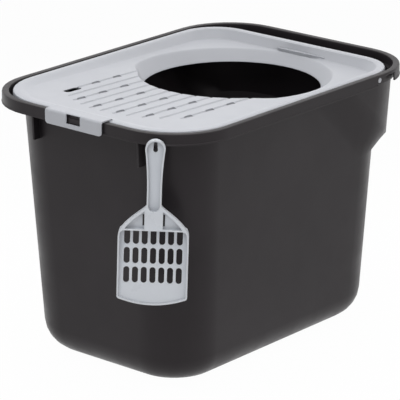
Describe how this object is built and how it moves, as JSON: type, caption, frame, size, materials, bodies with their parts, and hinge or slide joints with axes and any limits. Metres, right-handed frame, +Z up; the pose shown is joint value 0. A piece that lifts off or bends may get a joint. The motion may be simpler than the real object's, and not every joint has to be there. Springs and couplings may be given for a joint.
{
  "type": "top entry litter box",
  "caption": "Deep litter tub with a rear-hinged lid that has a grooved ramp and a round funnel entry, a flexing latch flap and a slotted scoop on a hook.",
  "frame": {"origin": "middle of the tub's flat resting face, under the middle of its rim", "axes": "+X across the width, +Y along the length from the latch end to the hinge end, +Z up"},
  "size_m": [0.375, 0.553, 0.3724],
  "materials": {
    "tub_plastic": "satin",
    "lid_plastic": "satin",
    "scoop_plastic": "satin"
  },
  "bodies": {
    "tub": {"tub": "tub_plastic"},
    "lid": {"lid": "lid_plastic"},
    "latch_flap": {"latch_flap": "lid_plastic"},
    "scoop": {"scoop": "scoop_plastic"}
  },
  "joints": [
    {"name": "lid_hinge", "type": "hinge", "parent": "tub", "child": "lid", "pos_m": [0, 0.155, 0.362], "axis": [-1, 0, 0], "range_deg": [0, 95]},
    {"name": "latch_flex", "type": "hinge", "parent": "lid", "child": "latch_flap", "pos_m": [0, -0.2599, 0.3724], "axis": [-1, 0, 0], "range_deg": [0, 12], "stiffness_Nm_per_rad": 0.5},
    {"name": "scoop_lift", "type": "slide", "parent": "tub", "child": "scoop", "axis": [0.545, -0.673, 0.5], "range_m": [0, 0.03]}
  ]
}
